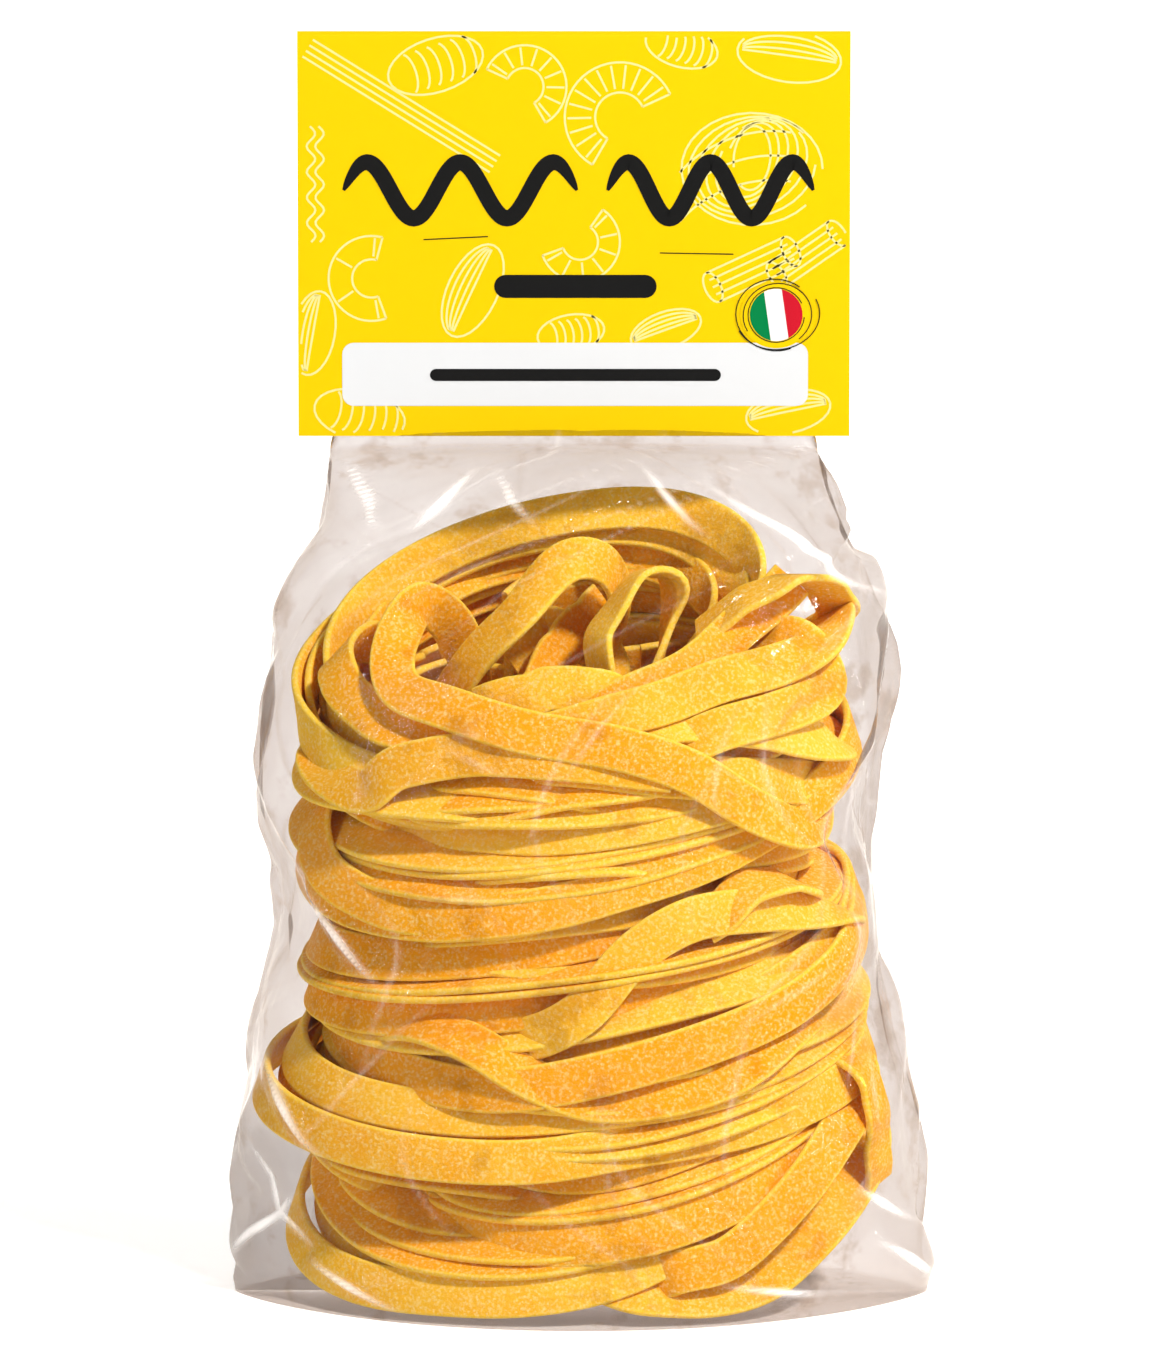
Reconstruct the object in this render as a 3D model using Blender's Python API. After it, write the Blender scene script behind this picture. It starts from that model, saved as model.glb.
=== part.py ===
"""Clear bag of dry tagliatelle nests, closed by a folded header card.

Run it with: blender --background --python part.py
The bag stands on its flat base. It is one closed body out to the film's outer surface: wide and pointed
at the two bottom corners, drawn in between the stacked nests, and pressed flat where it enters the card.
The card is one board, folded over the pressed top of the bag. The front looks along -Y.
"""

import math
from collections import namedtuple

import bmesh
import bpy

MM = 0.001

# Header card
CARD_WIDTH = 90.0 * MM
CARD_HEIGHT = 66.5 * MM
BOARD = 0.4 * MM  # thickness of the board
CARD_SLOT = 1.1 * MM  # space between the two flaps
CARD_FOOT = 143.0 * MM  # height of the flaps' lower edge
CARD_SHIFT = -1.2 * MM  # the card sits a little left of the bag's middle
FOLD_STEPS = 12  # steps round the fold at the card's top

# Pressed top of the bag, between the flaps
PRESSED_THICKNESS = 0.5 * MM
PRESSED_HALF_WIDTH = 40.0 * MM
PRESSED_TOP = CARD_FOOT + CARD_HEIGHT - 8.0 * MM  # the film ends below the card's fold
SHOULDER_TOP = CARD_FOOT - 0.5 * MM  # above this height the bag is flat

# The body of the bag. side_power is 1 for an ellipse, and more where the two sides are pinched to a crease.
Station = namedtuple("Station", "height left right depth side_power")
STATIONS = [
    Station(0.0 * MM, 58.6 * MM, 58.6 * MM, 32.0 * MM, 1.55),
    Station(7.0 * MM, 58.2 * MM, 58.2 * MM, 34.0 * MM, 1.50),
    Station(26.0 * MM, 59.2 * MM, 57.8 * MM, 34.5 * MM, 1.05),
    Station(48.0 * MM, 55.0 * MM, 52.2 * MM, 34.0 * MM, 0.90),
    Station(65.0 * MM, 50.9 * MM, 51.2 * MM, 33.0 * MM, 0.88),
    Station(83.0 * MM, 55.9 * MM, 49.1 * MM, 34.0 * MM, 0.88),
    Station(103.0 * MM, 52.9 * MM, 52.4 * MM, 32.0 * MM, 0.90),
    Station(120.0 * MM, 49.4 * MM, 49.6 * MM, 27.0 * MM, 0.95),
    Station(133.0 * MM, 46.2 * MM, 44.6 * MM, 17.0 * MM, 1.00),
    Station(139.5 * MM, 44.2 * MM, 42.0 * MM, 8.0 * MM, 1.05),
    Station(SHOULDER_TOP, 41.2 * MM, 38.8 * MM, PRESSED_THICKNESS / 2, 1.00),
]
ROUND_STEPS = 80  # points round each ring
RING_PITCH = 4.2 * MM  # height between rings
BASE_ROUNDING = 2.4 * MM  # radius where the base turns up into the side
BASE_STEPS = 4

# Sharp folds in the film: waves round the bag, waves along its height, starting phase and share of the depth
Fold = namedtuple("Fold", "waves_round waves_up start share")
FOLDS = [
    Fold(5, 3.1, 0.10, 0.40),
    Fold(8, -4.7, 0.62, 0.34),
    Fold(13, 2.3, 0.35, 0.26),
]
FOLD_DEPTH = 2.4 * MM
FOLD_FADE = 9.0 * MM  # the folds die out over this height, towards the base and the pressed top

# Side gussets: under the card, the film of each side is tucked in between the front and the back
GUSSET_DEPTH = 3.0 * MM
GUSSET_FOOT = 104.0 * MM  # the height where the tuck begins
GUSSET_WIDTH = 0.028  # share of a turn round the bag


def clear_scene():
    for item in list(bpy.data.objects):
        bpy.data.objects.remove(item, do_unlink=True)


def make_material(name, colour, roughness, alpha=1.0):
    material = bpy.data.materials.new(name)
    material.use_nodes = True
    shader = material.node_tree.nodes["Principled BSDF"]
    shader.inputs["Base Color"].default_value = (*colour, 1.0)
    shader.inputs["Roughness"].default_value = roughness
    shader.inputs["Metallic"].default_value = 0.0
    shader.inputs["Alpha"].default_value = alpha
    return material


def add_object(name, shape, material):
    """Makes an object from a finished bmesh, with its normals pointing out."""
    bmesh.ops.recalc_face_normals(shape, faces=shape.faces)
    mesh = bpy.data.meshes.new(name)
    shape.to_mesh(mesh)
    shape.free()
    mesh.materials.append(material)
    item = bpy.data.objects.new(name, mesh)
    bpy.context.scene.collection.objects.link(item)
    return item


def curve_through(values, place):
    """A smooth curve through a list of values (Catmull-Rom). place counts along the list, from 0."""
    last = len(values) - 1
    index = min(int(place), last - 1)
    t = place - index
    before = values[max(index - 1, 0)]
    start = values[index]
    end = values[index + 1]
    after = values[min(index + 2, last)]
    slope_in = (end - before) / 2
    slope_out = (after - start) / 2
    return (
        (2 * t**3 - 3 * t**2 + 1) * start
        + (t**3 - 2 * t**2 + t) * slope_in
        + (-2 * t**3 + 3 * t**2) * end
        + (t**3 - t**2) * slope_out
    )


def station_at(height):
    """The bag's cross-section at any height between the base and the pressed top."""
    index = 0
    while index < len(STATIONS) - 2 and height > STATIONS[index + 1].height:
        index += 1
    low = STATIONS[index].height
    high = STATIONS[index + 1].height
    place = index + (height - low) / (high - low)
    fields = [curve_through([s[k] for s in STATIONS], place) for k in range(1, len(Station._fields))]
    return Station(height, *fields)


def signed_power(value, power):
    return math.copysign(abs(value) ** power, value)


def fold_depth(turn, height):
    """How far the film is folded in, at a turn from 0 to 1 round the bag."""
    depth = 0.0
    for fold in FOLDS:
        phase = fold.waves_round * turn + fold.waves_up * height / SHOULDER_TOP + fold.start
        depth += fold.share * abs(math.sin(math.pi * phase))
    fade = min(1.0, height / FOLD_FADE, (SHOULDER_TOP - height) / FOLD_FADE)
    return FOLD_DEPTH * depth * max(fade, 0.0)


def gusset_depth(turn, height):
    """How far the side of the bag is tucked in. It grows from the gusset's foot up to the card."""
    from_side = min(abs(turn - side) for side in (0.0, 0.5, 1.0))
    rise = max(0.0, (height - GUSSET_FOOT) / (SHOULDER_TOP - GUSSET_FOOT))
    return GUSSET_DEPTH * rise * math.exp(-((from_side / GUSSET_WIDTH) ** 2))


def bag_ring(height, inset):
    """One ring of points round the bag, moved in by inset and by the film's folds."""
    section = station_at(height)
    points = []
    for step in range(ROUND_STEPS):
        turn = step / ROUND_STEPS
        along = math.cos(2 * math.pi * turn)
        across = math.sin(2 * math.pi * turn)
        reach = section.right if along > 0 else section.left
        move = inset + fold_depth(turn, height)
        x = signed_power(along, 0.96) * (reach - move - gusset_depth(turn, height))
        y = signed_power(across, section.side_power) * max(section.depth - move, PRESSED_THICKNESS / 2)
        points.append((x, y, height))
    return points


def pressed_ring(height):
    """A thin ring inside the card: the bag's two films and side folds pressed together."""
    points = []
    for step in range(ROUND_STEPS):
        angle = 2 * math.pi * step / ROUND_STEPS
        x = CARD_SHIFT + signed_power(math.cos(angle), 0.96) * PRESSED_HALF_WIDTH
        y = math.sin(angle) * PRESSED_THICKNESS / 2
        points.append((x, y, height))
    return points


def bag_rings():
    rings = []
    for step in range(BASE_STEPS):
        angle = math.pi / 2 * step / BASE_STEPS
        inset = BASE_ROUNDING * (1 - math.sin(angle))
        rings.append(bag_ring(BASE_ROUNDING * (1 - math.cos(angle)), inset))
    count = round((SHOULDER_TOP - BASE_ROUNDING) / RING_PITCH)
    for step in range(count):
        height = BASE_ROUNDING + (SHOULDER_TOP - BASE_ROUNDING) * step / count
        rings.append(bag_ring(height, 0.0))
    rings.append(pressed_ring(SHOULDER_TOP))
    rings.append(pressed_ring(PRESSED_TOP))
    return rings


def build_bag():
    """Joins the rings into one closed body with a flat base and a flat top."""
    shape = bmesh.new()
    rings = [[shape.verts.new(point) for point in ring] for ring in bag_rings()]
    for lower, upper in zip(rings, rings[1:]):
        for k in range(ROUND_STEPS):
            after = (k + 1) % ROUND_STEPS
            shape.faces.new((lower[k], lower[after], upper[after], upper[k]))
    shape.faces.new(rings[0])
    shape.faces.new(rings[-1])
    bag = add_object("bag", shape, make_material("clear_film", (0.90, 0.66, 0.27), 0.12, alpha=0.6))
    bag.data.shade_smooth()
    bag.data.set_sharp_from_angle(angle=math.radians(35))
    return bag


def flap_arc(radius, centre_height):
    """Half a circle over the card's fold, from the front flap to the back flap, as (y, z) points."""
    angles = [math.pi * step / FOLD_STEPS for step in range(FOLD_STEPS + 1)]
    return [(-radius * math.cos(a), centre_height + radius * math.sin(a)) for a in angles]


def build_header_card():
    """An upside-down U of board, extruded across the bag."""
    outer = CARD_SLOT / 2 + BOARD
    fold_height = CARD_FOOT + CARD_HEIGHT - outer
    profile = [(-outer, CARD_FOOT), *flap_arc(outer, fold_height), (outer, CARD_FOOT)]
    inner_arc = reversed(flap_arc(CARD_SLOT / 2, fold_height))
    profile += [(CARD_SLOT / 2, CARD_FOOT), *inner_arc, (-CARD_SLOT / 2, CARD_FOOT)]
    left = CARD_SHIFT - CARD_WIDTH / 2
    shape = bmesh.new()
    end = shape.faces.new([shape.verts.new((left, y, z)) for y, z in profile])
    swept = bmesh.ops.extrude_face_region(shape, geom=[end])
    moved = [item for item in swept["geom"] if isinstance(item, bmesh.types.BMVert)]
    bmesh.ops.translate(shape, verts=moved, vec=(CARD_WIDTH, 0, 0))
    card = add_object("header_card", shape, make_material("yellow_card", (0.98, 0.70, 0.01), 0.35))
    card.data.shade_smooth()
    card.data.set_sharp_from_angle(angle=math.radians(35))
    return card


clear_scene()
build_bag()
build_header_card()
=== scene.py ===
# %% [markdown]
# # A clear bag of dry pasta nests
# Five nests of egg ribbons stand in a crinkled clear bag, shut by a folded yellow card.
# The engineering model is a plain closed solid for the bag and a thin folded board for the card.
# This lesson dresses them: film for the bag, real ribbons inside it, print and grain for the card.

# %% Load the frame
import math

import bmesh
import bpy
import numpy as np
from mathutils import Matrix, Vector
from mathutils.bvhtree import BVHTree
from mathutils.kdtree import KDTree


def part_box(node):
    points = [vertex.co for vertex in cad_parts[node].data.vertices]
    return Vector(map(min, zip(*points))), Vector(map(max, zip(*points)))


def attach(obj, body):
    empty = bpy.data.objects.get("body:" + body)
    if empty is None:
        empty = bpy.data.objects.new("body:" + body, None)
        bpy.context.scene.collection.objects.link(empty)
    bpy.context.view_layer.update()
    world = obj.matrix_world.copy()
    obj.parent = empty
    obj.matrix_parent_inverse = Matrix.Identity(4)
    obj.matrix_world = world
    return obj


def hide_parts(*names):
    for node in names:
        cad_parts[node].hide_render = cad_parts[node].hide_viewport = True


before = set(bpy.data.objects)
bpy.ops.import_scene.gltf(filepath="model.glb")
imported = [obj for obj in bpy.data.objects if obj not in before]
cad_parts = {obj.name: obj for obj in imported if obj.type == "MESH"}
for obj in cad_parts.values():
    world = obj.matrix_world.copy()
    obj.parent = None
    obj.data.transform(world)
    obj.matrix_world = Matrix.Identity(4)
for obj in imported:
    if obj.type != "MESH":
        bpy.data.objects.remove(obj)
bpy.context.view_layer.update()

MM = 0.001
scene = bpy.context.scene
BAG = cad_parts["bag"]
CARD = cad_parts["header_card"]
card_low, card_high = (Vector(corner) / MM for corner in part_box("header_card"))
print("card in mm:", [round(v, 1) for v in card_low], [round(v, 1) for v in card_high])

# %% [markdown]
# ## Helpers for materials
# Every finish is built from nodes. A small function adds a node and sets its sockets by name, so
# each recipe below reads as a short list. What is the same all over stays on the shader's socket.

# %% Material helpers


def node(tree, kind, values=(), **settings):
    """Adds a node, sets its properties and then its inputs, given as (name, value) pairs."""
    made = tree.nodes.new(kind)
    for name, value in settings.items():
        setattr(made, name, value)
    for name, value in values:
        made.inputs[name].default_value = value
    return made


def blank_material(name):
    """Returns a material with an empty node tree, its tree and its output."""
    material = bpy.data.materials.new(name)
    material.use_nodes = True
    material.node_tree.nodes.clear()
    output = material.node_tree.nodes.new("ShaderNodeOutputMaterial")
    return material, material.node_tree, output


def colour_mix(tree, factor, first, second):
    """Mixes two colours; each input is a socket or a plain value."""
    mix = node(tree, "ShaderNodeMix", data_type="RGBA")
    for index, value in ((0, factor), (6, first), (7, second)):
        if isinstance(value, bpy.types.NodeSocket):
            tree.links.new(value, mix.inputs[index])
        else:
            mix.inputs[index].default_value = value
    return mix.outputs[2]


def range_mask(tree, value, low, high, to_low=0.0, to_high=1.0):
    """Turns a value between low and high into a soft mask."""
    ramp = node(tree, "ShaderNodeMapRange", interpolation_type="SMOOTHSTEP")
    tree.links.new(value, ramp.inputs["Value"])
    for name, number in (("From Min", low), ("From Max", high), ("To Min", to_low), ("To Max", to_high)):
        ramp.inputs[name].default_value = number
    return ramp.outputs["Result"]


# %% [markdown]
# ## Two surface effects as node groups
# Grain is the fine tooth that a bronze die leaves on dough, and the finer tooth of a coated board.
# Flecks are the pale dots of flour and semolina. Both are groups, so that every finish can
# use them with its own size. A group puts out a mask or a height, and never a shader.

# %% Grain and fleck groups


def surface_group(name, build):
    """Makes a group with Scale and Amount inputs and one Mask output, filled in by build."""
    group = bpy.data.node_groups.new(name, "ShaderNodeTree")
    for label, start in (("Scale", 100.0), ("Amount", 1.0)):
        socket = group.interface.new_socket(label, in_out="INPUT", socket_type="NodeSocketFloat")
        socket.default_value = start
    group.interface.new_socket("Mask", in_out="OUTPUT", socket_type="NodeSocketFloat")
    enter = group.nodes.new("NodeGroupInput")
    leave = group.nodes.new("NodeGroupOutput")
    place = group.nodes.new("ShaderNodeTexCoord")
    mask = build(group, place.outputs["Object"], enter.outputs["Scale"])
    strength = node(group, "ShaderNodeMath", operation="MULTIPLY")
    group.links.new(mask, strength.inputs[0])
    group.links.new(enter.outputs["Amount"], strength.inputs[1])
    group.links.new(strength.outputs[0], leave.inputs["Mask"])
    return group


def build_grain(tree, place, scale):
    noise = node(tree, "ShaderNodeTexNoise", (("Detail", 4.0), ("Roughness", 0.62)))
    tree.links.new(place, noise.inputs["Vector"])
    tree.links.new(scale, noise.inputs["Scale"])
    return noise.outputs["Fac"]


def build_flecks(tree, place, scale):
    cells = node(tree, "ShaderNodeTexVoronoi", (("Randomness", 1.0),))
    tree.links.new(place, cells.inputs["Vector"])
    tree.links.new(scale, cells.inputs["Scale"])
    return range_mask(tree, cells.outputs["Distance"], 0.26, 0.12)


GRAIN = surface_group("Fine grain", build_grain)
FLECKS = surface_group("Pale flecks", build_flecks)


def use_group(tree, group, scale, amount):
    """Places a group with its own values and returns its mask."""
    placed = node(tree, "ShaderNodeGroup", node_tree=group)
    placed.inputs["Scale"].default_value = scale
    placed.inputs["Amount"].default_value = amount
    return placed.outputs["Mask"]


# %% [markdown]
# ## Dry pasta
# Egg dough dries to a warm yellow, and each strand differs a little. The thin cut edges get a
# painted highlight: a brighter, more orange colour that stands in for the light they catch and let
# through. The pale flour colour on the fine grain is partly real flour and partly a painted sparkle
# highlight. A `tone` attribute is one number for each strand, and `across` runs from one edge of a
# ribbon to the other, so the finish follows every bend.

# %% Pasta material
PASTA_PALE = (0.96, 0.60, 0.045, 1.0)
PASTA_DEEP = (0.91, 0.37, 0.002, 1.0)
# Painted highlight colour for the ribbon edges.
PASTA_EDGE_HIGHLIGHT = (1.0, 0.68, 0.07, 1.0)
# Pale flour colour, used for the real flour flecks and for the painted sparkle on the grain.
PASTA_FLOUR_AND_SPARKLE = (1.0, 0.88, 0.42, 1.0)


def pasta_material():
    material, tree, output = blank_material("Dry egg pasta")
    tone = node(tree, "ShaderNodeAttribute", attribute_name="tone")
    across = node(tree, "ShaderNodeAttribute", attribute_name="across")
    width = node(tree, "ShaderNodeMath", operation="ABSOLUTE")
    tree.links.new(across.outputs["Fac"], width.inputs[0])
    cloud = use_group(tree, GRAIN, 90.0, 1.0)
    blend = node(tree, "ShaderNodeMath", operation="MULTIPLY_ADD")
    tree.links.new(cloud, blend.inputs[0])
    blend.inputs[1].default_value = 0.7
    tree.links.new(tone.outputs["Fac"], blend.inputs[2])
    base = colour_mix(tree, range_mask(tree, blend.outputs[0], 0.3, 1.2), PASTA_DEEP, PASTA_PALE)
    # Painted highlight: both edges of every ribbon are mixed towards a brighter, more orange colour.
    edge_highlighted = colour_mix(tree, range_mask(tree, width.outputs[0], 0.80, 0.97, 0.0, 0.8), base, PASTA_EDGE_HIGHLIGHT)
    # Partly real flour, partly a painted sparkle highlight: the fine grain turns pale.
    flour_and_sparkle_grain = use_group(tree, GRAIN, 1700.0, 1.0)
    flour_and_sparkle = colour_mix(tree, range_mask(tree, flour_and_sparkle_grain, 0.46, 0.66, 0.0, 0.38), edge_highlighted, PASTA_FLOUR_AND_SPARKLE)
    dusted = colour_mix(tree, use_group(tree, FLECKS, 1000.0, 0.4), flour_and_sparkle, PASTA_FLOUR_AND_SPARKLE)
    shader = node(
        tree,
        "ShaderNodeBsdfPrincipled",
        (("Roughness", 0.62), ("Specular IOR Level", 0.06), ("Subsurface Weight", 0.12)),
    )
    shader.inputs["Subsurface Radius"].default_value = (1.0, 0.5, 0.12)
    shader.inputs["Subsurface Scale"].default_value = 0.9 * MM
    bump = node(tree, "ShaderNodeBump", (("Strength", 0.7), ("Distance", 0.35 * MM)))
    tree.links.new(use_group(tree, GRAIN, 1500.0, 1.0), bump.inputs["Height"])
    tree.links.new(dusted, shader.inputs["Base Color"])
    tree.links.new(bump.outputs["Normal"], shader.inputs["Normal"])
    tree.links.new(shader.outputs["BSDF"], output.inputs["Surface"])
    return material


PASTA = pasta_material()

# %% [markdown]
# ## Clear film
# Polypropylene film is a few hundredths of a millimetre thick. Each layer holds back a little
# light, scatters a trace of it as haze, and mirrors what it meets at a low angle. Real glass would
# bend what lies behind and slow the render, so light goes straight through a Transparent shader,
# and a Fresnel mix lays the mirror gloss over it. Seen from inside, the Fresnel node would take the
# skin for the inner face of a solid and turn it into a full mirror, so the index is turned over on
# back faces. Rays on their way to a lamp pass freely. Bronze patches in the tint are a painted
# reflection of the pasta in the crinkled film. Sharp folds get a painted glint: a ridge attribute
# on the skin lays a white haze along them.

# %% Film material
FILM_IOR = 1.15
FILM_TINT = (0.72, 0.695, 0.69, 1.0)
FILM_EDGE_TINT = (0.52, 0.46, 0.42, 1.0)
# Painted reflection: bronze patches stand for the pasta mirrored in the crinkled film.
FILM_REFLECTED_BRONZE = (0.50, 0.42, 0.36, 1.0)
# White of the film's faint haze and of the painted glint along its folds.
FILM_HAZE_AND_GLINT = (0.92, 0.89, 0.87, 1.0)


def film_material():
    material, tree, output = blank_material("Clear film")
    rays = node(tree, "ShaderNodeLightPath")
    glance = node(tree, "ShaderNodeLayerWeight", (("Blend", 0.35),))
    tinted = colour_mix(tree, glance.outputs["Facing"], FILM_TINT, FILM_EDGE_TINT)
    place = node(tree, "ShaderNodeTexCoord")
    cloud = node(tree, "ShaderNodeTexNoise", (("Scale", 75.0), ("Detail", 4.0), ("Roughness", 0.62)))
    tree.links.new(place.outputs["Object"], cloud.inputs["Vector"])
    # Painted reflection: noise patches tint the film bronze.
    reflection_mottle = range_mask(tree, cloud.outputs["Fac"], 0.54, 0.66, 0.0, 0.65)
    tinted = colour_mix(tree, reflection_mottle, tinted, FILM_REFLECTED_BRONZE)
    passing = colour_mix(tree, rays.outputs["Is Shadow Ray"], tinted, (0.97, 0.97, 0.97, 1.0))
    clear = node(tree, "ShaderNodeBsdfTransparent")
    tree.links.new(passing, clear.inputs["Color"])
    haze_and_glint = node(tree, "ShaderNodeBsdfDiffuse", (("Color", FILM_HAZE_AND_GLINT),))
    gloss = node(tree, "ShaderNodeBsdfGlossy", (("Roughness", 0.05), ("Color", (1.0, 0.97, 0.94, 1.0))))
    ripple = node(tree, "ShaderNodeBump", (("Strength", 0.5), ("Distance", 1.2 * MM)))
    tree.links.new(use_group(tree, GRAIN, 110.0, 1.0), ripple.inputs["Height"])
    tree.links.new(ripple.outputs["Normal"], gloss.inputs["Normal"])
    # Painted glint: the ridge mask lays a white diffuse haze along the folds, over a faint real haze everywhere.
    veil = node(tree, "ShaderNodeMixShader")
    glint_ridge = node(tree, "ShaderNodeAttribute", attribute_name="glint_ridge")
    tree.links.new(range_mask(tree, glint_ridge.outputs["Fac"], 0.0, 0.8, 0.003, 0.75), veil.inputs[0])
    tree.links.new(clear.outputs[0], veil.inputs[1])
    tree.links.new(haze_and_glint.outputs[0], veil.inputs[2])
    side = node(tree, "ShaderNodeNewGeometry")
    index = node(tree, "ShaderNodeMapRange", (("To Min", FILM_IOR), ("To Max", 1.0 / FILM_IOR)))
    tree.links.new(side.outputs["Backfacing"], index.inputs["Value"])
    mirror = node(tree, "ShaderNodeFresnel")
    tree.links.new(index.outputs["Result"], mirror.inputs["IOR"])
    seen = node(tree, "ShaderNodeMath", operation="SUBTRACT")
    seen.inputs[0].default_value = 1.0
    tree.links.new(rays.outputs["Is Shadow Ray"], seen.inputs[1])
    strength = node(tree, "ShaderNodeMath", operation="MULTIPLY")
    tree.links.new(mirror.outputs[0], strength.inputs[0])
    tree.links.new(seen.outputs[0], strength.inputs[1])
    sheen = node(tree, "ShaderNodeMixShader")
    tree.links.new(strength.outputs[0], sheen.inputs[0])
    tree.links.new(veil.outputs[0], sheen.inputs[1])
    tree.links.new(gloss.outputs[0], sheen.inputs[2])
    tree.links.new(sheen.outputs[0], output.inputs["Surface"])
    return material


FILM = film_material()

# %% [markdown]
# ## Card and its inks
# The card is coated board printed full yellow. Inks lie flat on it, so one short recipe serves all
# of them: a colour, a roughness, and a trace of the board's own tooth in the bump.

# %% Card materials


def ink_material(name, colour, roughness=0.55):
    material, tree, output = blank_material(name)
    shader = node(tree, "ShaderNodeBsdfPrincipled", (("Roughness", roughness),
        ("Specular IOR Level", 0.05)))
    shade = use_group(tree, GRAIN, 220.0, 0.06)
    darker = tuple(0.93 * channel for channel in colour[:3]) + (1.0,)
    tree.links.new(colour_mix(tree, shade, colour, darker), shader.inputs["Base Color"])
    bump = node(tree, "ShaderNodeBump", (("Strength", 0.08), ("Distance", 0.05 * MM)))
    tree.links.new(use_group(tree, GRAIN, 2500.0, 1.0), bump.inputs["Height"])
    tree.links.new(bump.outputs["Normal"], shader.inputs["Normal"])
    tree.links.new(shader.outputs["BSDF"], output.inputs["Surface"])
    return material


YELLOW = ink_material("Yellow coated board", (0.57, 0.385, 0.0, 1.0))
BLACK = ink_material("Black ink", (0.006, 0.006, 0.006, 1.0))
PALE_LINE = ink_material("White line ink", (0.57, 0.51, 0.19, 1.0))
LABEL_GREY = ink_material("Pale label ink", (0.50, 0.51, 0.525, 1.0))
FLAG_GREEN = ink_material("Green ink", (0.0, 0.14, 0.038, 1.0))
FLAG_WHITE = ink_material("White ink", (0.57, 0.57, 0.57, 1.0))
FLAG_RED = ink_material("Red ink", (0.38, 0.006, 0.016, 1.0))

CARD.data.materials.clear()
CARD.data.materials.append(YELLOW)


# %% [markdown]
# ## The room inside the bag
# Both the film and the pasta have to follow the bag's outline, which changes with height. Rays
# sent out from the upright axis to the engineering model measure it once, into a small table of
# reach by height and direction. Everything later asks this table and not the mesh.

# %% Measure the bag
REACH_DIRECTIONS = 144
REACH_STEP = 1.5
SHOULDER_Z = 142.5
BAG_DEPTH_TO_WIDTH = 0.62


def measure_bag():
    """Returns heights in mm and the bag's reach in mm for each height and direction."""
    mesh = BAG.data
    points = [BAG.matrix_world @ vertex.co / MM for vertex in mesh.vertices]
    tree = BVHTree.FromPolygons(points, [tuple(face.vertices) for face in mesh.polygons])
    heights = np.arange(0.6, SHOULDER_Z - 0.4, REACH_STEP)
    reach = np.zeros((len(heights), REACH_DIRECTIONS))
    for row, height in enumerate(heights):
        for column in range(REACH_DIRECTIONS):
            angle = 2.0 * math.pi * column / REACH_DIRECTIONS
            way = Vector((math.cos(angle), BAG_DEPTH_TO_WIDTH * math.sin(angle), 0.0)).normalized()
            hit = tree.ray_cast(Vector((0.0, 0.0, height)), way)
            reach[row, column] = hit[3] if hit[0] is not None else 0.2
    return heights, reach


BAG_HEIGHTS, BAG_REACH = measure_bag()
print("bag reach measured:", BAG_REACH.shape, "widest", round(float(BAG_REACH.max()), 1), "mm")


def bag_reach(x, y, z):
    """The bag's reach in mm in the direction of each point (x, y), at its height z."""
    angle = np.arctan2(y / BAG_DEPTH_TO_WIDTH, x) % (2.0 * math.pi)
    column = angle / (2.0 * math.pi) * REACH_DIRECTIONS
    row = np.clip((z - BAG_HEIGHTS[0]) / REACH_STEP, 0.0, len(BAG_HEIGHTS) - 1.001)
    c0 = np.floor(column).astype(int)
    r0 = np.floor(row).astype(int)
    fc = column - c0
    fr = row - r0
    c0 = c0 % REACH_DIRECTIONS
    c1 = (c0 + 1) % REACH_DIRECTIONS
    low = BAG_REACH[r0, c0] * (1 - fc) + BAG_REACH[r0, c1] * fc
    high = BAG_REACH[r0 + 1, c0] * (1 - fc) + BAG_REACH[r0 + 1, c1] * fc
    return low * (1 - fr) + high * fr


# %% [markdown]
# ## Film
# The film is one closed skin over the measured outline. Crumpled film keeps flat facets between
# sharp straight folds, so the skin is not pushed about by smooth noise. Each fold is a little roof
# along a line: highest on the line, falling straight to nothing at its sides and softly at its
# ends. A few are listed where the bag is pulled, and the rest are scattered by seed.

# %% Shape the film
FILM_COLUMNS = 380
FILM_ROWS = 240
CREASE_LINE = 1.0
OUTWARD_PUSH = 2.4
INWARD_PUSH = -1.5
PRESSED_HALF_WIDTH = 40.0
PRESSED_TOP = 201.0
PRESSED_HALF_THICKNESS = 0.22
SCATTERED_FOLDS = 170
PLACED_FOLDS = (
    # side, from (across, height) to (across, height), depth, half width: all mm
    ("front", -40.0, 141.0, -30.0, 128.0, 2.6, 7.0),
    ("front", -30.0, 128.0, -16.0, 140.0, -2.2, 6.0),
    ("front", -16.0, 140.0, -6.0, 130.0, 1.6, 5.0),
    ("front", 19.0, 138.0, 49.0, 116.0, 2.6, 7.0),
    ("front", 8.0, 141.0, 22.0, 128.0, -1.6, 5.0),
    ("front", -45.0, 73.0, -30.0, 55.0, 2.2, 3.0),
    ("front", -52.0, 43.0, -40.0, 26.0, 2.2, 3.0),
    ("front", -58.0, 5.0, -44.0, 22.0, 3.0, 6.0),
    ("front", -56.0, 30.0, -44.0, 8.0, -2.0, 5.0),
    ("front", 47.0, 12.0, 58.0, 2.0, 3.0, 7.0),
    ("front", 46.0, 22.0, 57.0, 12.0, -2.0, 5.0),
    ("front", -46.0, 10.0, -28.0, 1.0, 2.0, 4.0),
    ("front", 20.0, 8.0, 42.0, 3.0, 1.8, 4.0),
)


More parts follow.
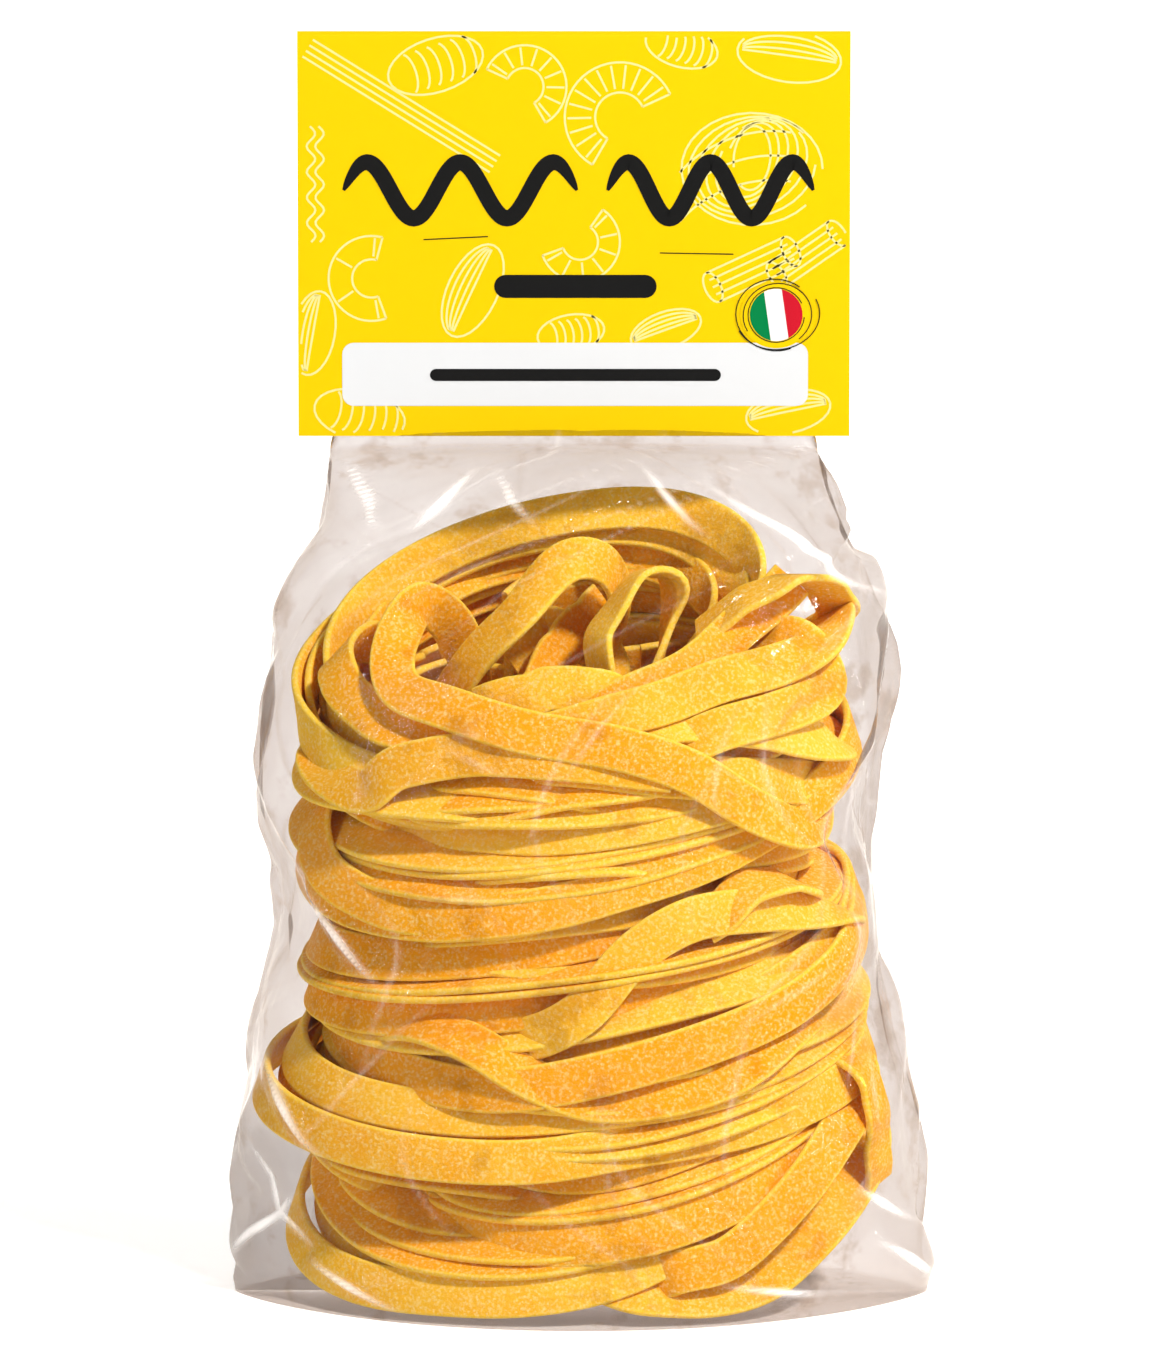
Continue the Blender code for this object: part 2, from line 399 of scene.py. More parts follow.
def fold_heights(places, folds):
    """Adds up the little roofs of the folds at each place (across, height), in mm, and marks their ridges."""
    total = np.zeros(len(places))
    ridge = np.zeros(len(places))
    for x0, z0, x1, z1, depth, half_width in folds:
        along = np.array((x1 - x0, z1 - z0))
        length = max(float(np.hypot(*along)), 1e-6)
        along = along / length
        offset = places - np.array((x0, z0))
        run = offset @ along / length
        beside = np.abs(offset[:, 0] * -along[1] + offset[:, 1] * along[0])
        window = np.clip(1.0 - np.abs(2.0 * run - 1.0) ** 3, 0.0, 1.0)
        total += depth * np.clip(1.0 - beside / half_width, 0.0, 1.0) * window
        # The ridge marks carry the film's painted glint.
        line = np.clip(1.0 - beside / CREASE_LINE, 0.0, 1.0) * np.clip(1.0 - np.abs(2.0 * run - 1.0),
            0.0, 1.0)
        ridge = np.maximum(ridge, line * min(1.0, abs(depth) / 2.4))
    return total, ridge


def scattered_folds(rng, girth, top):
    """Random folds over the unrolled skin: long upright ones and short slanting ones."""
    folds = []
    for index in range(SCATTERED_FOLDS):
        across = rng.uniform(-10.0, girth + 10.0)
        height = rng.uniform(-5.0, top)
        steep = rng.uniform(55.0, 125.0) if index % 3 else rng.uniform(0.0, 180.0)
        length = rng.uniform(35.0, 95.0) if index % 3 else rng.uniform(18.0, 45.0)
        turn = math.radians(steep)
        end = (across + length * math.cos(turn), height + length * math.sin(turn))
        depth = rng.uniform(1.0, 3.0) * (1 if rng.random() < 0.5 else -1)
        folds.append((across, height, end[0], end[1], depth, rng.uniform(5.0, 15.0)))
    return folds


def film_skin():
    """Returns the film's rows of points, from the middle of the base to the pressed top."""
    angles = 2.0 * math.pi * np.arange(FILM_COLUMNS) / FILM_COLUMNS
    heights = np.linspace(0.0, SHOULDER_Z - 1.0, FILM_ROWS)
    across, height = np.meshgrid(angles, heights)
    x_way = np.cos(across)
    y_way = BAG_DEPTH_TO_WIDTH * np.sin(across)
    size = np.hypot(x_way, y_way)
    x_way, y_way = x_way / size, y_way / size
    reach = bag_reach(x_way.ravel(), y_way.ravel(), np.maximum(height, 0.7).ravel()).reshape(height.shape)
    unrolled = np.cumsum(np.hypot(np.diff(reach * x_way, axis=1), np.diff(reach * y_way, axis=1)), axis=1)
    unrolled = np.hstack((np.zeros((FILM_ROWS, 1)), unrolled))
    girth = float(unrolled.max())
    rng = np.random.default_rng(12)
    places = np.column_stack((unrolled.ravel(), height.ravel()))
    push, ridge = fold_heights(places, scattered_folds(rng, girth, SHOULDER_Z))
    push = np.where(push > 0.0, OUTWARD_PUSH, INWARD_PUSH) * np.tanh(np.abs(push) / OUTWARD_PUSH)
    front = (np.sin(across) < 0.0).ravel()
    flat = np.column_stack(((reach * x_way).ravel(), height.ravel()))
    placed, placed_ridge = fold_heights(flat, [fold[1:] for fold in PLACED_FOLDS])
    push = np.maximum(push + np.where(front, placed, 0.0), INWARD_PUSH)
    ridge = np.maximum(0.26 * ridge, np.where(front, placed_ridge, 0.0))
    calm = np.clip(height.ravel() / 5.0, 0.0, 1.0) * np.clip((SHOULDER_Z - height.ravel()) / 18.0, 0.0, 1.0)
    moved = reach - 0.35 + (push * calm).reshape(height.shape)
    moved = np.maximum(moved, 0.25)
    return np.dstack((moved * x_way, moved * y_way, height)), ridge


def build_film():
    rows, ridge = film_skin()
    mesh = bmesh.new()
    # The ridge marks are stored on the skin for the painted glint.
    glint_ridge = mesh.verts.layers.float.new("glint_ridge")
    rings = [[mesh.verts.new(Vector(point) * MM) for point in row] for row in rows]
    for corner, mark in zip((corner for ring in rings for corner in ring), ridge):
        corner[glint_ridge] = mark
    last = rows[-1]
    for height in (SHOULDER_Z + 3.0, PRESSED_TOP):
        width = PRESSED_HALF_WIDTH / np.abs(last[:, 0]).max()
        ring = []
        for x, y, _ in last:
            depth = PRESSED_HALF_THICKNESS * max(-1.0, min(1.0, y / 0.3))
            ring.append(mesh.verts.new(Vector((x * width, depth, height)) * MM))
        rings.append(ring)
    for low, high in zip(rings, rings[1:]):
        for k in range(FILM_COLUMNS):
            n = (k + 1) % FILM_COLUMNS
            mesh.faces.new((low[k], low[n], high[n], high[k]))
    foot = mesh.verts.new((0.0, 0.0, 0.0))
    top = mesh.verts.new((0.0, 0.0, PRESSED_TOP * MM))
    for k in range(FILM_COLUMNS):
        n = (k + 1) % FILM_COLUMNS
        mesh.faces.new((foot, rings[0][n], rings[0][k]))
        mesh.faces.new((top, rings[-1][k], rings[-1][n]))
    bmesh.ops.remove_doubles(mesh, verts=mesh.verts, dist=0.01 * MM)
    bmesh.ops.recalc_face_normals(mesh, faces=mesh.faces)
    data = bpy.data.meshes.new("clear_film")
    mesh.to_mesh(data)
    mesh.free()
    data.materials.append(FILM)
    film = bpy.data.objects.new("clear_film", data)
    scene.collection.objects.link(film)
    data.polygons.foreach_set("use_smooth", [True] * len(data.polygons))
    return film


film = build_film()
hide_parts("bag")
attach(film, "root")
print("film faces:", len(film.data.polygons))

# %% [markdown]
# ## One ribbon as a Geometry Nodes tree
# A ribbon is a line swept with a flat rounded section. The line is a chain of mesh edges, and each
# of its points carries a `facing` vector that says which way the broad side looks. Free curve
# normals keep that aim through every twist, which an automatic normal would lose.

# %% Ribbon tree
RIBBON_WIDTH = 7.4
RIBBON_THICKNESS = 1.25


def geometry_tree(name, sizes):
    """Starts a Geometry Nodes tree with a mesh input, named sizes and a material input."""
    tree = bpy.data.node_groups.new(name, "GeometryNodeTree")
    tree.interface.new_socket("Geometry", in_out="INPUT", socket_type="NodeSocketGeometry")
    for label in sizes:
        tree.interface.new_socket(label, in_out="INPUT", socket_type="NodeSocketFloat")
    tree.interface.new_socket("Material", in_out="INPUT", socket_type="NodeSocketMaterial")
    tree.interface.new_socket("Geometry", in_out="OUTPUT", socket_type="NodeSocketGeometry")
    return tree, tree.nodes.new("NodeGroupInput"), tree.nodes.new("NodeGroupOutput")


def sweep_tree(name, round_corners):
    """Sweeps every chain of edges with a flat section of the given width and thickness."""
    tree, enter, leave = geometry_tree(name, ("Width", "Thickness", "Corner"))
    link = tree.links.new
    facing = node(tree, "GeometryNodeInputNamedAttribute", (("Name", "facing"),), data_type="FLOAT_VECTOR")
    curve = tree.nodes.new("GeometryNodeMeshToCurve")
    aim = node(tree, "GeometryNodeSetCurveNormal", mode="FREE")
    section = tree.nodes.new("GeometryNodeCurvePrimitiveQuadrilateral")
    link(enter.outputs["Geometry"], curve.inputs["Mesh"])
    link(curve.outputs["Curve"], aim.inputs["Curve"])
    link(facing.outputs["Attribute"], aim.inputs["Normal"])
    line = aim.outputs["Curve"]
    if round_corners:
        bend = node(tree, "GeometryNodeCurveSplineType", spline_type="CATMULL_ROM")
        finer = node(tree, "GeometryNodeSetSplineResolution", (("Resolution", 2),))
        link(line, bend.inputs["Curve"])
        link(bend.outputs["Curve"], finer.inputs["Geometry"])
        line = finer.outputs["Geometry"]
    link(enter.outputs["Thickness"], section.inputs["Width"])
    link(enter.outputs["Width"], section.inputs["Height"])
    outline = section.outputs["Curve"]
    if round_corners:
        fillet = node(tree, "GeometryNodeFilletCurve", (("Count", 3),), mode="POLY")
        link(outline, fillet.inputs["Curve"])
        link(enter.outputs["Corner"], fillet.inputs["Radius"])
        outline = fillet.outputs["Curve"]
    place = tree.nodes.new("GeometryNodeInputPosition")
    split = tree.nodes.new("ShaderNodeSeparateXYZ")
    share = node(tree, "ShaderNodeMath", operation="DIVIDE")
    double = node(tree, "ShaderNodeMath", operation="MULTIPLY")
    double.inputs[1].default_value = 2.0
    store = node(tree, "GeometryNodeStoreNamedAttribute", (("Name", "across"),),
        data_type="FLOAT", domain="POINT")
    link(place.outputs["Position"], split.inputs["Vector"])
    link(split.outputs["Y"], double.inputs[0])
    link(double.outputs[0], share.inputs[0])
    link(enter.outputs["Width"], share.inputs[1])
    link(outline, store.inputs["Geometry"])
    link(share.outputs[0], store.inputs["Value"])
    sweep = node(tree, "GeometryNodeCurveToMesh", (("Fill Caps", True),))
    link(line, sweep.inputs["Curve"])
    link(store.outputs["Geometry"], sweep.inputs["Profile Curve"])
    smooth = tree.nodes.new("GeometryNodeSetShadeSmooth")
    link(sweep.outputs["Mesh"], smooth.inputs["Geometry"])
    smooth.inputs["Shade Smooth"].default_value = round_corners
    realize = tree.nodes.new("GeometryNodeRealizeInstances")
    link(smooth.outputs["Geometry"], realize.inputs["Geometry"])
    paint = tree.nodes.new("GeometryNodeSetMaterial")
    link(realize.outputs["Geometry"], paint.inputs["Geometry"])
    link(enter.outputs["Material"], paint.inputs["Material"])
    link(paint.outputs["Geometry"], leave.inputs["Geometry"])
    return tree


RIBBON_TREE = sweep_tree("Pasta ribbon", True)
STROKE_TREE = sweep_tree("Printed line", False)


def chain_mesh(name, chains):
    """A mesh of edge chains. Each chain is (points in mm, facing vectors, tone)."""
    points = np.vstack([chain[0] for chain in chains]) * MM
    edges = []
    start = 0
    for chain in chains:
        count = len(chain[0])
        edges += [(start + i, start + i + 1) for i in range(count - 1)]
        start += count
    data = bpy.data.meshes.new(name)
    data.from_pydata(points.tolist(), edges, [])
    facing = data.attributes.new("facing", "FLOAT_VECTOR", "POINT")
    facing.data.foreach_set("vector", np.vstack([chain[1] for chain in chains]).ravel())
    tone = data.attributes.new("tone", "FLOAT", "POINT")
    tone.data.foreach_set("value", np.concatenate([np.full(len(chain[0]), chain[2]) for chain in chains]))
    return data


def sweep_piece(name, chains, tree, width, thickness, corner, material):
    """Runs the chains through a sweep tree and returns the plain mesh as a finished piece."""
    source = bpy.data.objects.new(name + "_path", chain_mesh(name + "_path", chains))
    scene.collection.objects.link(source)
    modifier = source.modifiers.new("Sweep", "NODES")
    modifier.node_group = tree
    values = {"Width": width * MM, "Thickness": thickness * MM, "Corner": corner * MM, "Material": material}
    for item in tree.interface.items_tree:
        if item.in_out == "INPUT" and item.name in values:
            modifier[item.identifier] = values[item.name]
    shown = source.evaluated_get(bpy.context.evaluated_depsgraph_get())
    data = bpy.data.meshes.new_from_object(shown)
    data.name = name
    piece = bpy.data.objects.new(name, data)
    bpy.data.objects.remove(source)
    scene.collection.objects.link(piece)
    return piece


# %% [markdown]
# ## How the strands lie
# A nest is made by winding a handful of long strands loosely and laying them down. Most strands
# therefore run as slack hoops: out at the left, low round the front, out at the right and higher
# round the back. A hoop is told by where its two ends reach, how high it passes at the left, the
# front and the right, and how far it leans. A few strands at the top stand up or cross over, and
# those follow a short list of points.

# %% Strand helpers
SAMPLE_STEP = 2.2
FILM_CLEARANCE = 2.6
FLOOR_CLEARANCE = 1.2
END_SHARE = 0.13
END_INSET = 0.28
END_DROP = 3.0


def unit(vectors):
    return vectors / np.maximum(np.linalg.norm(vectors, axis=1, keepdims=True), 1e-9)


def tangents(points):
    return unit(np.gradient(points, axis=0))


def square_to(vectors, along):
    """The part of each vector that stands square to the line."""
    return unit(vectors - along * np.sum(vectors * along, axis=1, keepdims=True))


def even_steps(points, step=SAMPLE_STEP):
    """The same line with points at an even distance."""
    run = np.concatenate(([0.0], np.cumsum(np.linalg.norm(np.diff(points, axis=0), axis=1))))
    count = max(4, int(run[-1] / step) + 1)
    where = np.linspace(0.0, run[-1], count)
    return np.column_stack([np.interp(where, run, points[:, axis]) for axis in range(3)])


def smooth_through(points, parts=14):
    """A Catmull-Rom line through a few points."""
    points = np.array(points, float)
    ends = np.vstack((2 * points[0] - points[1], points, 2 * points[-1] - points[-2]))
    t = np.linspace(0.0, 1.0, parts, endpoint=False)[:, None]
    made = []
    for a, b, c, d in zip(ends, ends[1:], ends[2:], ends[3:]):
        made.append(0.5 * (2 * b + (c - a) * t + (2 * a - 5 * b + 4 * c - d) * t**2 + (3 * b - a - 3 * c + d) * t**3))
    return even_steps(np.vstack(made + [points[-1:]]))


def hoop(left, right, z_left, z_front, z_right, lean, depth=28.0, lean_back=None, start=100.0, turn=425.0):
    """One slack turn of ribbon in mm and degrees. It lies in a tilted plane, so its back is as much
    above its sides as its front is below them. Its two ends overlap and tuck into the ring."""
    share = np.linspace(0.0, 1.0, 180)
    t = np.radians(start - turn * share)
    tucked = np.clip(1.0 - np.minimum(share, 1.0 - share) / END_SHARE, 0.0, 1.0) ** 1.5
    inset = 1.0 - END_INSET * tucked
    x = (left + right) / 2 + (right - left) / 2 * np.cos(t) * inset
    y = depth * np.sin(t) * inset
    level = z_left + (z_right - z_left) * (1 + np.cos(t)) / 2
    z = level - (z_front - (z_left + z_right) / 2) * np.sin(t) - END_DROP * tucked
    points = even_steps(np.column_stack((x, y, z)))
    back = np.clip(points[:, 1] / depth * 1.5, -1.0, 1.0) / 2 + 0.5
    tilt = np.radians(lean + ((lean if lean_back is None else lean_back) - lean) * back)
    middle = np.array(((left + right) / 2, 0.0))
    out = np.column_stack(((points[:, :2] - middle) * np.array((1.0, 1.9)), np.zeros(len(points))))
    out = square_to(out, tangents(points))
    up = np.cross(out, tangents(points))
    up = up * np.sign(up[:, 2:3] + 1e-9)
    return points, unit(out * np.cos(tilt)[:, None] + up * np.sin(tilt)[:, None])


def loose(points, *aims):
    """A strand through a few points in mm, whose broad side turns through the given aims."""
    line = smooth_through(points)
    aims = np.array(aims if len(aims) > 1 else aims * 2, float)
    where = np.linspace(0.0, len(aims) - 1, len(line))
    aim = np.column_stack([np.interp(where, range(len(aims)), aims[:, axis]) for axis in range(3)])
    return line, square_to(aim, tangents(line))


def tuck_in(points, facing):
    """Moves a ribbon inwards and up until both its edges are clear of the film."""
    side = np.cross(tangents(points), facing) * RIBBON_WIDTH / 2
    points = points.copy()
    for edge in (points + side, points - side):
        radius = np.maximum(np.hypot(edge[:, 0], edge[:, 1]), 1e-6)
        limit = bag_reach(edge[:, 0], edge[:, 1], edge[:, 2]) - FILM_CLEARANCE
        over = np.maximum(radius - limit, 0.0)
        points[:, :2] -= edge[:, :2] / radius[:, None] * over[:, None]
        points[:, 2] += np.maximum(FLOOR_CLEARANCE - edge[:, 2], 0.0)
    return points


# %% [markdown]
# ## The five nests
# Each nest lists the strands that show at the front, then fills its inside and back with hoops
# drawn at random between its own limits. The random numbers come from one seeded generator, so
# the nests are the same on every run.

# %% Strands of the nests
OUT = (0.0, -1.0, 0.25)
NESTS = {
    "nest_1": {
        "hoops": (
            (-41, 29, 101, 91, 117, 25, 20, -35),
            (-45, 27, 99, 89, 114, 20, 22, -45),
            (-44, 26, 97, 87, 110, 40, 22, -45),
            (-42, 24, 96, 86, 108, 50, 21, -55),
            (-40, 30, 96, 88, 108, 60, 23, -30),
            (-43, 34, 94, 87, 106, 55, 25, 20),
            (-41, 38, 93, 88, 104, 50, 26, 20),
            (-44, 36, 91, 86, 99, 45, 27, 25),
            (-38, 22, 100, 92, 112, 60, 18, -40),
        ),
        "loose": (
            (((-18, 6, 100), (-21, 1, 111), (-27, -5, 116), (-31, -13, 110), (-30, -20, 104),
                (-22, -25, 101.5), (-8, -28, 98), (8, -29, 95.5),
              (20, -28, 91.5), (31, -25, 85), (39, -18, 81), (39, -8, 85), (32, 4, 90)), (-0.6, -1, 0.1), OUT, OUT, (0.4, -1, 0)),
            (((36, 4, 104), (45, -3, 112), (42, -12, 110), (32, -17, 107), (20, -22, 103.5),
                (8, -26, 100), (-4, -27, 97), (-16, -24, 95), (-26, -14, 94)), OUT),
            (((36, -6, 121), (27, -13, 114), (17, -20, 107), (5, -24, 101), (-8, -22, 97),
                (-20, -12, 94)), OUT),
            (((24, -10, 111), (32, -13, 117.5), (41, -12, 121), (47, -7, 118), (45, 2, 112),
                (34, 8, 108)), (-0.3, -0.6, 1), (0.3, -0.4, 1)),
            (((3, -26, 97.5), (14, -28, 99), (25, -28, 100), (36, -26, 99), (44, -19, 95.5),
                (45, -8, 93), (34, 4, 95)), (0, -0.5, 1), OUT, (1, -1, 0.2)),
            (((30, -9, 110), (39, -12, 110.5), (44, -13, 105), (41, -18, 101), (30, -24, 98.5),
                (16, -25, 95), (0, -20, 92), (-12, -10, 90)), (0.2, -1, 0.5)),
            (((-15, -20, 100), (-8, -22, 103), (2, -22, 103.5), (10, -21, 99)), (0, -1, 0.5)),
            (((-27, -4, 95), (-19, -9, 106), (-11, -12, 115), (-3, -9, 123), (4, -5, 122), (6, 0, 113),
                (2, 3, 96)), (-0.6, -1, 0.4), (0, -0.5, 1), (1, -0.4, 0.1)),
            (((6, -12, 93), (4, -14, 101), (3, -13, 111), (8, -10, 120.5), (14, -8, 121), (15, -5, 114),
                (12, -7, 104), (11, -6, 95)), (-0.8, -0.6, 0), (0, 0.2, 1), (1, -0.5, 0)),
            (((-12, 1, 106), (-4, 4, 110), (3, 3, 106), (6, 0, 98)), (0.2, -1, 0.2)),
            (((-7, -4, 101), (-3, 0, 108), (4, 7, 114)), (0.2, -1, 0.1)),
            (((-28, 6, 98), (-34, 2, 107), (-39, -5, 108), (-39, -12, 103), (-33, -18, 99),
                (-22, -24, 96.5)), (-0.7, -0.6, 0.8)),
            (((-34, 6, 94), (-42, -6, 92), (-41, -15, 89), (-34, -21, 87), (-28, -24, 92),
                (-16, -27, 95), (0, -28, 94), (17, -28, 93)), (-0.2, -1, 0.6), (0, -1, 0.1), OUT),
        ),
        "fill": (6, -40, 36, 92, 106, 88, 20, 55),
    },
    "nest_2": {
        "hoops": (
            (-29, 40, 88, 91.5, 86, 8, 27, 15),
            (-37, 40, 83, 84, 91, 18, 26.5, 20),
            (-41, 39, 82, 79.5, 92, 55, 24.5, 40),
            (-42, 40, 81, 77.5, 92, 60, 24.5, 45),
            (-44, 41, 79, 75, 92, 48, 25.5, 40),
            (-46, 42, 74, 71, 93, 12, 27.5, 20),
        ),
        "loose": (
            (((-30, 8, 84), (-41, -4, 84), (-46, -12, 80), (-44, -18, 72), (-34, -25, 68),
                (-20, -28, 67), (-4, -24, 69), (8, -16, 72)), (-1, -0.3, 0.3), OUT),
        ),
        "fill": (9, -42, 39, 72, 88, 76, 22, 60),
    },
    "nest_3": {
        "hoops": (
            (-41, 35, 62, 67.5, 72, 20, 23.5, 20),
            (-42, 36, 59, 62.5, 70, 15, 24.5, 20),
            (-42, 40, 57, 59, 70, 72, 25.5, 60),
            (-43, 41, 55.5, 57, 69, 75, 25.5, 60),
            (-44, 41, 52.5, 53, 64, 12, 25.5, 20),
            (-42, 45, 51, 49.5, 65, 50, 26, 30),
            (-38, 46, 49.5, 47, 66, 20, 25.5, 25),
            (-40, 50, 47, 42.5, 64, 8, 28.5, 25),
        ),
        "loose": (
            (((-20, -14, 47), (-9, -27, 48), (2, -33, 53), (13, -34, 61.5), (24, -32.5, 66.5),
                (36, -27, 67.5), (45, -18, 66.5), (50, -7, 63.5),
              (42, 4, 56), (30, 8, 53)), (0.1, -1, 0.0), (0.1, -1, 0.2), (0.6, -0.6, 0.8)),
            (((27, -27, 66), (33, -26, 71), (39, -22, 72), (41, -14, 69), (34, -4, 66)), (0.2, -0.8, 0.8)),
        ),
        "fill": (8, -41, 42, 50, 64, 50, 25, 62),
    },
    "nest_4": {
        "hoops": (
            (-33, 44, 47, 40, 52, 60, 25.5, 40),
            (-34, 44, 45, 38, 50, 45, 27, 35),
            (-47, 43, 41, 35.5, 49, 25, 27.5, 25),
            (-46, 44, 38, 32.5, 47, 55, 26.5, 40),
            (-46, 45, 36, 31, 45, 50, 27.5, 40),
            (-54, 46, 35, 29.5, 42, 10, 29, 20),
        ),
        "loose": (
            (((-34, -14, 47), (-27, -24, 49), (-19, -29, 46.5), (-9, -31.5, 41.5), (4, -32, 38),
                (18, -31, 38.5),
              (32, -26, 43), (40, -16, 48)), (0, -1, 0.9), (0, -1, 0.3)),
        ),
        "fill": (10, -46, 43, 34, 44, 34, 25, 65),
    },
    "nest_5": {
        "hoops": (
            (-20, 39, 30, 27, 43, 10, 25, 20),
            (-27, 42, 27, 22, 43, 62, 24.5, 40),
            (-28, 43, 27, 20, 42, 66, 24.5, 40),
            (-31, 45, 26, 14.5, 42, 10, 27, 25),
            (-38, 38, 23, 12, 38, 62, 24.5, 40),
            (-41, 37, 22, 10.5, 36, 60, 25, 40),
            (-42, 36, 17, 9, 33, 42, 25.5, 30),
            (-47, 35, 12, 6.5, 30, 14, 27.5, 20),
        ),
        "loose": (
            (((-4, -18, 12), (6, -27, 8), (16, -31, 5), (29, -31, 4), (41, -27, 7), (49, -20, 13),
                (54, -12, 21),
              (54, -2, 28), (46, 8, 32)), (0, -1, 0.2), (0.3, -1, 0.9), (0.8, -1, 0.6)),
            (((8, -14, 6), (17, -28, 8), (29, -30, 11), (39, -29, 17), (46, -25, 25), (50, -16, 33),
                (48, -4, 39),
              (38, 8, 40)), (0.1, -1, 0.0), (0.7, -1, 0.1)),
            (((34, 2, 40), (43, -8, 41), (50, -13, 40), (54, -13, 34), (55.5, -11, 27), (55, -8, 20)),
             (0.3, -0.5, 1), (0.8, -0.6, 0.4), (1, -0.8, 0.2)),
        ),
        "fill": (8, -44, 44, 12, 28, 10, 20, 60),
    },
}
OPEN_NEST = "nest_1"
WOBBLE_MM = 0.7


def wobbled(points, rng):
    """Adds the slow waver that a drying strand takes on."""
    run = np.linspace(0.0, 1.0, len(points))
    shift = np.zeros_like(points)
    for waves in (2.0, 3.0, 5.0):
        shift += rng.normal(0.0, WOBBLE_MM / waves, 3) * np.sin(2 * math.pi * (waves * run[:, None] + rng.random(3)))
    return points + shift


def fill_hoops(rng, count, left, right, z_low, z_high, z_front, lean_low, lean_high):
    """Random hoops between a nest's limits, nearer the middle than the ones that show."""
    made = []
    for index in range(count):
        share = (index + 0.5) / count
        inset = rng.uniform(2.0, 9.0)
        level = z_low + (z_high - z_low) * share
        drop = rng.uniform(3.0, 8.0)
        z_left = level - rng.uniform(-2.0, 3.0)
        z_right = level + rng.uniform(-2.0, 4.0)
        made.append(
            hoop(
                left + inset,
                right - rng.uniform(2.0, 9.0),
                z_left,
                max(z_front, level - drop),
                z_right,
                rng.uniform(lean_low, lean_high),
                rng.uniform(14.0, 25.0),
                start=rng.uniform(60.0, 130.0),
                turn=rng.uniform(300.0, 350.0),
            )
        )
    return made


def lay_strands():
    """Returns every strand as a dict with its points, facing, nest, tone and how freely it moves."""
    rng = np.random.default_rng(41)
    strands = []
    for name, nest in NESTS.items():
        shown = []
        ends_at = -90.0 if name == OPEN_NEST else 90.0
        for sizes in nest["hoops"]:
            shown.append(hoop(*sizes, start=ends_at + rng.uniform(-20.0, 20.0)))
        shown += [loose(points, *aims) for points, *aims in nest["loose"]]
        for free, group in ((0.12, shown), (1.0, fill_hoops(rng, *nest["fill"]))):
            for points, facing in group:
                laid = wobbled(points, rng)
                strands.append(
                    {
                        "nest": name,
                        "laid": laid,
                        "points": laid,
                        "facing": facing,
                        "tone": rng.uniform(0.0, 0.6),
                        "free": free,
                    }
                )
    return strands


strands = lay_strands()
length = sum(float(np.linalg.norm(np.diff(s["points"], axis=0), axis=1).sum()) for s in strands)
print("strands:", len(strands), "ribbon laid:", round(length / 1000, 1), "m")

# %% [markdown]
# ## Let the strands settle
# Laid by rule, strands pass through each other. Every strand is therefore given a row of small
# beads across its width. Beads of different strands that are too close push their strands apart,
# the push is spread along the strand so that it bends and does not kink, and the bag holds the
# strands in. This parts some strands and not all: about half of the ribbon surface still crosses
# another ribbon when the rounds end. The count printed below is the beads still too close.

# %% Settle
SETTLE_ROUNDS = 56
BEADS = np.array((-0.42, -0.14, 0.14, 0.42)) * RIBBON_WIDTH
BEAD_GAP = 1.55
SHIFT_PASSES = 5


def spread(values, passes):
    """Evens out values along a strand, so that it bends and does not kink."""
    for _ in range(passes):
        padded = np.vstack((values[:1], values, values[-1:]))
        values = (padded[:-2] + 2 * padded[1:-1] + padded[2:]) / 4
    return values


def settle(strands, rounds):
    owner = np.concatenate([np.full(len(s["points"]), i) for i, s in enumerate(strands)])
    place = np.concatenate([np.arange(len(s["points"])) for s in strands])
    free = np.array([s["free"] for s in strands])
    starts = np.cumsum([0] + [len(s["points"]) for s in strands])
    for _ in range(rounds):
        points = np.vstack([s["points"] for s in strands])
        facing = np.vstack([s["facing"] for s in strands])
        along = np.vstack([tangents(s["points"]) for s in strands])
        side = np.cross(along, facing)
        beads = (points[:, None, :] + side[:, None, :] * BEADS[None, :, None]).reshape(-1, 3)
        tree = KDTree(len(beads))
        for index, bead in enumerate(beads):
            tree.insert(bead, index)
        tree.balance()
        push = np.zeros_like(points)
        hits = 0
        for index, bead in enumerate(beads):
            mine = index // len(BEADS)
            for spot, other, gap in tree.find_range(bead, BEAD_GAP):
                theirs = other // len(BEADS)
                if other <= index or (owner[mine] == owner[theirs] and abs(place[mine] - place[theirs]) < 6):
                    continue
                way = bead - np.array(spot)
                if gap < 1e-4:
                    way = facing[mine]
                    gap = 1.0
                way = way / gap * (BEAD_GAP - min(gap, BEAD_GAP)) * 0.5
                weight = free[owner[mine]] / (free[owner[mine]] + free[owner[theirs]])
                push[mine] += way * weight
                push[theirs] -= way * (1.0 - weight)
                hits += 1
        for i, strand in enumerate(strands):
            step = spread(push[starts[i] : starts[i + 1]], 4) * 1.6
            size = np.linalg.norm(step, axis=1, keepdims=True)
            step = step * np.minimum(1.0, 0.8 / np.maximum(size, 1e-9))
            moved = tuck_in(strand["points"] + step, strand["facing"])
            strand["points"] = strand["laid"] + spread(moved - strand["laid"], SHIFT_PASSES)
            strand["facing"] = square_to(spread(strand["facing"], 1), tangents(strand["points"]))
    return hits


left_over = settle(strands, SETTLE_ROUNDS)
print("bead contacts left after settling:", left_over)

# %% [markdown]
# ## Sweep the nests
# Each nest's settled lines go through the ribbon tree together, and come back as one plain mesh.

# %% Make the nests
for name in NESTS:
    chains = [(s["points"], s["facing"], s["tone"]) for s in strands if s["nest"] == name]
    nest = sweep_piece(name, chains, RIBBON_TREE, RIBBON_WIDTH, RIBBON_THICKNESS, 0.5, PASTA)
    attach(nest, "root")
    print(name, len(chains), "strands,", len(nest.data.polygons), "faces")

# %% [markdown]
# ## Print on the card
# Ink has no thickness to speak of, but a separate thin plate for each field keeps its edge crisp
# from close by and lets each colour be changed alone. Plates and lines stand a few hundredths of
# a millimetre proud of the card, each layer a little further than the one beneath it.

# %% Plate helpers
INK_STEP = 0.03
CARD_LEFT = card_low.x
CARD_FOOT = card_low.z
CARD_FACE = card_low.y


